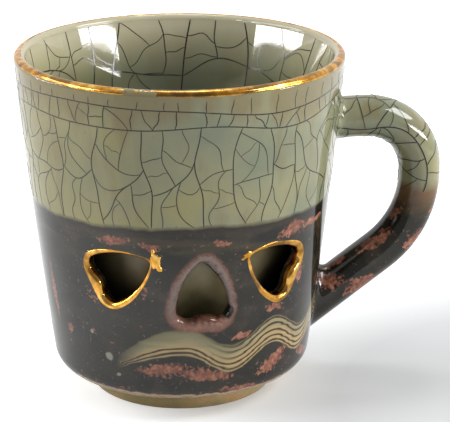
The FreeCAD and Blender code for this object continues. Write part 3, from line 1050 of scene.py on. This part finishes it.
    # Between the two glazes: a purplish line on the wall, and golden brown on the handle
    brown = add(tree, "ShaderNodeMixRGB", {"Fac": on_handle, "Color1": paint("#231B14"),
                                           "Color2": paint("#6E5236")})
    width = add(tree, "ShaderNodeMapRange", {"Value": on_handle, "To Min": 1.3, "To Max": 3.2})
    share = add(tree, "ShaderNodeMath", {0: above, 1: width}, operation="DIVIDE")
    browned = add(tree, "ShaderNodeMapRange", {"Value": share, "From Min": -2.2, "From Max": -0.3})
    clear = add(tree, "ShaderNodeMapRange", {"Value": share, "From Min": -0.3, "From Max": 0.7})

    # Where the glaze ends above the foot: a pale band, partly the glaze's thin edge and partly a painted
    # highlight along the corner, then the clay.
    foot = add(tree, "ShaderNodeMath", {0: shift, 1: 2.4, 2: at["z"]}, operation="MULTIPLY_ADD")
    foot = add(tree, "ShaderNodeMapRange", {"Value": foot, "From Min": GLAZE_FOOT - 1.2,
                                            "From Max": GLAZE_FOOT + 0.5, "To Min": 1.0, "To Max": 0.0})
    ground = add(tree, "ShaderNodeValToRGB", {"Fac": foot},
                 [(0.0, "#8A5A44"), (0.25, "#B79478"), (0.5, "#9A7A4C"), (1.0, "#6B6038")])
    at_foot = add(tree, "ShaderNodeMapRange", {"Value": foot, "From Max": 0.15})

    colour = iron_glaze(tree, at, above)
    for part, tone in ((black, paint("#0E0D0B")), (rust, rust_tone), (drops, paint("#8E8D80")),
                       (cover, slip), (bare, lip_tone), (browned, brown),
                       (clear, celadon(tree, at, 78.0, 86.0)), (at_foot, ground)):
        colour = add(tree, "ShaderNodeMixRGB", {"Fac": part, "Color1": colour, "Color2": tone})
    rough = add(tree, "ShaderNodeMath", {0: rust, 1: at_foot}, operation="MAXIMUM")
    rough = add(tree, "ShaderNodeMapRange", {"Value": rough, "To Min": 0.07, "To Max": 0.24})
    lay_surface(tree, {"Base Color": colour, "Roughness": rough, "IOR": 1.5,
                       "Normal": glaze_relief(tree, at, 4.5, 0.035, 0.1)})
    return material


def bowl_glaze():
    """The same celadon inside the bowl, warmer where it runs thin near the lip, with painted shade: pale near
    the lip, darkening to deep green lower in the bowl.
    """
    material, tree = new_material("stoneware_celadon_glaze_fired_glossy")
    at = find_place(tree)
    # Painted shade: the colour darkens from pale near the lip to deep green lower down, where the walls shade
    # the bowl's depths.
    height = add(tree, "ShaderNodeMapRange", {"Value": at["z"], "From Min": 62.0, "From Max": 87.0})
    depth_shade = add(tree, "ShaderNodeValToRGB", {"Fac": height},
                 [(0.0, "#1E2818"), (0.5, "#5E644B"), (0.85, "#B4B193"), (1.0, "#D2CDB2")])
    colour = add(tree, "ShaderNodeMixRGB", {"Fac": 0.55, "Color1": celadon(tree, at, 74.0, 90.0),
                                            "Color2": depth_shade})
    lay_surface(tree, {"Base Color": colour, "Roughness": 0.03, "IOR": 1.5,
                       "Normal": glaze_relief(tree, at, 11.0, 0.02, 0.03, peel=0.0015)})
    return material


def hollow_glaze():
    """A thin wash of glaze in the air space between the walls: olive-brown and satin, with painted shade
    darkening it towards the sides, away from the front.
    """
    material, tree = new_material("stoneware_thin_olive_glaze_poured")
    at = find_place(tree)
    cloud = add(tree, "ShaderNodeTexNoise", {"Vector": at["place"], "Scale": 1 / 7, "Detail": 4.0})
    colour = add(tree, "ShaderNodeValToRGB", {"Fac": cloud},
                 [(0.3, "#6A6144"), (0.5, "#8C8260"), (0.7, "#9A8F6C")])
    # Painted shade: darker towards the sides, away from the front, so the hollow seen through the side
    # windows reads dark.
    side = add(tree, "ShaderNodeMath", {0: at["arc"]}, operation="ABSOLUTE")
    side = add(tree, "ShaderNodeMapRange", {"Value": side, "From Min": 9.0, "From Max": 26.0,
                                            "To Max": 0.75})
    colour = add(tree, "ShaderNodeMixRGB", {"Fac": side, "Color1": colour, "Color2": paint("#1E1A12")})
    lay_surface(tree, {"Base Color": colour, "Roughness": 0.35,
                       "Normal": glaze_relief(tree, at, 5.0, 0.05, 0.1)})
    return material


def foot_clay():
    """Stoneware clay turned with a tool and left bare but for a thin ash wash: matt, olive to orange."""
    material, tree = new_material("stoneware_clay_turned_bare")
    at = find_place(tree)
    grit = add(tree, "ShaderNodeTexNoise", {"Vector": at["place"], "Scale": 1 / 0.7, "Detail": 4.0})
    cloud = add(tree, "ShaderNodeTexNoise", {"Vector": at["place"], "Scale": 1 / 8, "Detail": 4.0})
    colour = add(tree, "ShaderNodeValToRGB", {"Fac": cloud},
                 [(0.32, "#7D7349"), (0.48, "#A28F60"), (0.6, "#C09B66"), (0.72, "#CC925A")])
    rough = add(tree, "ShaderNodeMapRange", {"Value": cloud, "To Min": 0.35, "To Max": 0.8})
    colour = add(tree, "ShaderNodeMixRGB", {"Fac": grit, "Color1": colour, "Color2": paint("#8C7A55")})
    lay_surface(tree, {"Base Color": colour, "Roughness": rough,
                       "Normal": glaze_relief(tree, at, 1.1, 0.06, 0.05)})
    return material


def gold_lustre():
    """Gold lustre painted with a brush and fired: a mirror-like film, streaky where it lies thin, with dark
    reflections painted into its colour as brown patches.
    """
    material, tree = new_material("gold_lustre_brushed_on_fired")
    at = find_place(tree)
    cloud = add(tree, "ShaderNodeTexNoise", {"Vector": at["place"], "Scale": 1 / 2.2, "Detail": 4.0})
    colour = add(tree, "ShaderNodeValToRGB", {"Fac": cloud},
                 [(0.3, "#B27B2C"), (0.5, "#D89C44"), (0.68, "#F2C26C")])
    # Painted reflection: brown patches that darken the gold, standing in for dark surroundings mirrored in
    # it.
    worn = add(tree, "ShaderNodeTexNoise", {"Vector": at["place"], "Scale": 1 / 7, "Detail": 5.0})
    worn = add(tree, "ShaderNodeMapRange", {"Value": worn, "From Min": 0.47, "From Max": 0.62,
                                            "To Max": 0.8})
    colour = add(tree, "ShaderNodeMixRGB", {"Fac": worn, "Color1": colour, "Color2": paint("#745632")})
    rough = add(tree, "ShaderNodeMapRange", {"Value": cloud, "From Min": 0.3, "From Max": 0.7,
                                             "To Min": 0.24, "To Max": 0.1})
    marks = add(tree, "ShaderNodeTexNoise", {"Vector": at["place"], "Scale": 1 / 1.1, "Detail": 3.0})
    relief = add(tree, "ShaderNodeMath", {0: marks, 1: 0.02}, operation="MULTIPLY")
    bump = add(tree, "ShaderNodeBump", {"Height": relief, "Distance": MM})
    lay_surface(tree, {"Base Color": colour, "Roughness": rough, "Metallic": 1.0, "Normal": bump})
    return material


def crackle_stain():
    """Ink rubbed into the crazing under gloss: olive-black in the first cracks, browner in late ones."""
    material, tree = new_material("crackle_stain_rubbed_in")
    at = find_place(tree)
    age = add(tree, "ShaderNodeAttribute", attribute_name="crack_age")
    cloud = add(tree, "ShaderNodeTexNoise", {"Vector": at["place"], "Scale": 1 / 5, "Detail": 2.0})
    late = add(tree, "ShaderNodeMath", {0: age.outputs["Fac"], 1: 0.1, 2: cloud}, operation="MULTIPLY_ADD")
    colour = add(tree, "ShaderNodeValToRGB", {"Fac": late},
                 [(0.4, "#26261E"), (0.75, "#35342A"), (1.1, "#4A4838")])
    lay_surface(tree, {"Base Color": colour, "Roughness": 0.1, "IOR": 1.5})
    return material


# Stage

CAMERA_TARGET = (0, 0, 45.0)
CAMERA_DISTANCE = 500.0
CAMERA_ROUND = -9.0               # the camera's and lamps' places and turns are in degrees
CAMERA_ELEVATION = 18.856
CAMERA_YAW = 1.335
CAMERA_PITCH = 0.109
CAMERA_ROLL = -0.390
CAMERA_LENS = 151.47
SENSOR_WIDTH = 36.0


def direction_at(around, lift):
    """The direction away from the mug at an angle round it and an elevation."""
    lift = math.radians(lift)
    return round_axis(math.radians(around), math.cos(lift), math.sin(lift))


def make_camera():
    around = math.radians(CAMERA_ROUND)
    back = direction_at(CAMERA_ROUND, CAMERA_ELEVATION)
    right = Vector((math.cos(around), math.sin(around), 0))
    up = back.cross(right)
    axes = Matrix((right, up, back)).transposed()
    turn = (Matrix.Rotation(-math.radians(CAMERA_YAW), 3, "Y")
            @ Matrix.Rotation(math.radians(CAMERA_PITCH), 3, "X")
            @ Matrix.Rotation(math.radians(CAMERA_ROLL), 3, "Z"))
    place = (Vector(CAMERA_TARGET) + back * CAMERA_DISTANCE) * MM
    data = bpy.data.cameras.new("camera")
    data.lens = CAMERA_LENS
    data.sensor_width = SENSOR_WIDTH
    data.clip_start = 0.01
    camera = bpy.data.objects.new("camera", data)
    bpy.context.scene.collection.objects.link(camera)
    camera.matrix_world = Matrix.Translation(place) @ (axes @ turn).to_4x4()
    bpy.context.scene.camera = camera


ROOM_LIGHT = 0.27                 # the room's light against the backdrop's
DIFFUSE_SHARE = 0.51              # of the room's light on what isn't a mirror
# The paper's glow is painted light, an emission that grows away from one spot, and the glaze mirrors a share
# of it; the dim patch left round that spot is painted shade where the mug's shadow falls.
FLOOR_SHADE_PLACE = (0.1, -0.04, 0)   # metres: the paper's dimmest spot, where the shadow falls
FLOOR_SHADE_REACH = (0.065, 0.17)     # metres from there: where the glow starts, and is full
FLOOR_FRONT = -0.085              # metres: the glaze mirrors the paper's glow behind this line only
FLOOR_FRONT_BLUR = 0.02           # metres
FLOOR_HALF = 4.0                  # metres: half its side
FLOOR_GLOW = 0.95
GLOW_MIRRORED = 0.55              # share of the paper's glow that the glaze mirrors
LAMP_DISTANCE = 1.2               # metres
LAMPS = {                         # angle round the mug, elevation, size in metres, watts, roll
    "softbox_left": (-98, 32, (1.0, 0.28), 7.5, 0),
    "softbox_right": (70, 40, (0.6, 0.45), 10.0, 0),
    "softbox_top": (170, 70, (0.4, 0.25), 2.5, 0),
    "strip_left": (-96, 12.8, (1.05, 0.055), 4.8, 10),
    "strip_right_low": (60, 10.5, (0.69, 0.105), 6.2, -7),
    "strip_right_high": (60, 14.6, (0.69, 0.02), 1.2, -7),
}


def make_floor():
    """White paper that keeps the mug's shadow and fades to the white backdrop by a painted glow, which is
    left out around the shadow as painted shade.
    """
    mesh = bpy.data.meshes.new("floor")
    corners = [(x * FLOOR_HALF, y * FLOOR_HALF, 0) for x, y in ((-1, -1), (1, -1), (1, 1), (-1, 1))]
    mesh.from_pydata(corners, [], [(0, 1, 2, 3)])
    material, tree = new_material("matt_white_paper")
    shader = add(tree, "ShaderNodeBsdfPrincipled", {"Base Color": paint("#D6D8D9"), "Roughness": 0.9})
    place = add(tree, "ShaderNodeTexCoord").outputs["Object"]
    away = add(tree, "ShaderNodeVectorMath", {0: place, 1: FLOOR_SHADE_PLACE},
               operation="DISTANCE").outputs["Value"]
    start, full = FLOOR_SHADE_REACH
    glow = add(tree, "ShaderNodeMapRange", {"Value": away, "From Min": start, "From Max": full,
                                            "To Max": FLOOR_GLOW})
    front = add(tree, "ShaderNodeSeparateXYZ", {0: place}).outputs["Y"]
    front = add(tree, "ShaderNodeMapRange", {"Value": front, "From Min": FLOOR_FRONT - FLOOR_FRONT_BLUR,
                                             "From Max": FLOOR_FRONT, "To Max": GLOW_MIRRORED})
    ray = add(tree, "ShaderNodeLightPath")
    front = add(tree, "ShaderNodeMath", {0: front, 1: ray.outputs["Is Camera Ray"]}, operation="MAXIMUM")
    glow = add(tree, "ShaderNodeMath", {0: glow, 1: front}, operation="MULTIPLY")
    glow = add(tree, "ShaderNodeEmission", {"Color": (1, 1, 1, 1), "Strength": glow})
    both = add(tree, "ShaderNodeAddShader", {0: shader, 1: glow})
    seen = add(tree, "ShaderNodeMath", {0: ray.outputs["Is Camera Ray"], 1: ray.outputs["Is Glossy Ray"]},
               operation="MAXIMUM")
    mixed = add(tree, "ShaderNodeMixShader", {0: seen, 1: shader, 2: both})
    add(tree, "ShaderNodeOutputMaterial", {"Surface": mixed})
    linked("floor", mesh, material)


def make_world():
    """A white backdrop behind the mug and a dimmer room behind the camera."""
    world = bpy.data.worlds.new("studio")
    world.use_nodes = True
    tree = world.node_tree
    tree.nodes.clear()
    ray = add(tree, "ShaderNodeLightPath")
    direction = add(tree, "ShaderNodeTexCoord").outputs["Generated"]
    depth = add(tree, "ShaderNodeSeparateXYZ", {0: direction}).outputs["Y"]
    room = add(tree, "ShaderNodeMapRange", {"Value": depth, "From Min": -0.5, "From Max": 0.4,
                                            "To Min": ROOM_LIGHT, "To Max": 1.0})
    share = add(tree, "ShaderNodeMapRange", {"Value": ray.outputs["Is Glossy Ray"], "To Min": DIFFUSE_SHARE,
                                             "To Max": 1.0})
    light = add(tree, "ShaderNodeMath", {0: room, 1: share}, operation="MULTIPLY")
    light = add(tree, "ShaderNodeMath", {0: light, 1: ray.outputs["Is Camera Ray"]}, operation="MAXIMUM")
    back = add(tree, "ShaderNodeBackground", {"Color": (1, 1, 1, 1), "Strength": light})
    add(tree, "ShaderNodeOutputWorld", {"Surface": back})
    bpy.context.scene.world = world


def softbox(name, around, lift, size, power, roll):
    """A soft rectangular lamp that faces the mug. A positive roll lifts its end by the handle."""
    direction = direction_at(around, lift)
    data = bpy.data.lights.new(name, "AREA")
    data.shape = "RECTANGLE"
    data.size, data.size_y = size
    data.energy = power
    lamp = bpy.data.objects.new(name, data)
    bpy.context.scene.collection.objects.link(lamp)
    lamp.matrix_world = (Matrix.Translation(Vector(CAMERA_TARGET) * MM + direction * LAMP_DISTANCE)
                         @ direction.to_track_quat("Z", "Y").to_matrix().to_4x4()
                         @ Matrix.Rotation(math.radians(roll), 4, "Z"))


def make_stage():
    bpy.context.scene.view_settings.view_transform = "Standard"
    make_camera()
    make_floor()
    make_world()
    for name, lamp in LAMPS.items():
        softbox(name, *lamp)


# Dressing the body: its zones by finish, then the crackle and the gold
HOLLOW_HEIGHTS = (7.0, 65.1)      # of the air space between the walls
HOLLOW_DEPTH = 3.0                # from the outside of the wall

make_stage()
gold = gold_lustre()
stain = crackle_stain()

centres = BODY_POINTS[BODY_TRIANGLES].mean(1)
radius = np.hypot(centres[:, 0], centres[:, 1])
z = centres[:, 2]
in_foot = (BODY_POINTS[BODY_TRIANGLES][:, :, 2].max(1) < FOOT_ZONE_TOP) & (radius < CORNER[0])
zones = np.zeros(len(z))
low, high = HOLLOW_HEIGHTS
zones[(z > low) & (z < high) & (radius < wall_radius(z) - HOLLOW_DEPTH)] = 1
zones[(z > BOWL_FLOOR - 0.1) & (radius < bowl_radius(np.minimum(z, LIP_CENTRE[1])) + 0.1)] = 2
zones[(z > LIP_CENTRE[1]) & (radius < LIP_CENTRE[0])] = 2
pieces = [
    body_piece("fired_body", ~in_foot, zones, [outside_glaze(), hollow_glaze(), bowl_glaze()]),
    body_piece("foot_ring", in_foot, zones * 0, [foot_clay()]),
]
for piece in pieces:
    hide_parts("mug")
lines = [
    lay_cracks("crackle_wall", [(wall_cracks(), on_wall)], *WALL_CRACK, stain),
    lay_cracks("crackle_bowl", [(bowl_cracks(), on_bowl), (floor_cracks(), on_bowl_floor)],
               *BOWL_CRACK, stain),
    lay_cracks("crackle_handle", [(handle_cracks(), on_handle)], *HANDLE_CRACK, stain),
]
gilding = [
    gold_rim(gold),
    heart_gilding("gold_left_window", HEARTS["left"], gold, left_band, SEED + 6),
    heart_gilding("gold_right_window", HEARTS["right"], gold, right_band, SEED + 7),
]
gilding += [gold_blob(name, *blob, gold) for name, blob in GOLD_BLOBS.items()]
for piece in pieces + lines + gilding:
    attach(piece, "root")
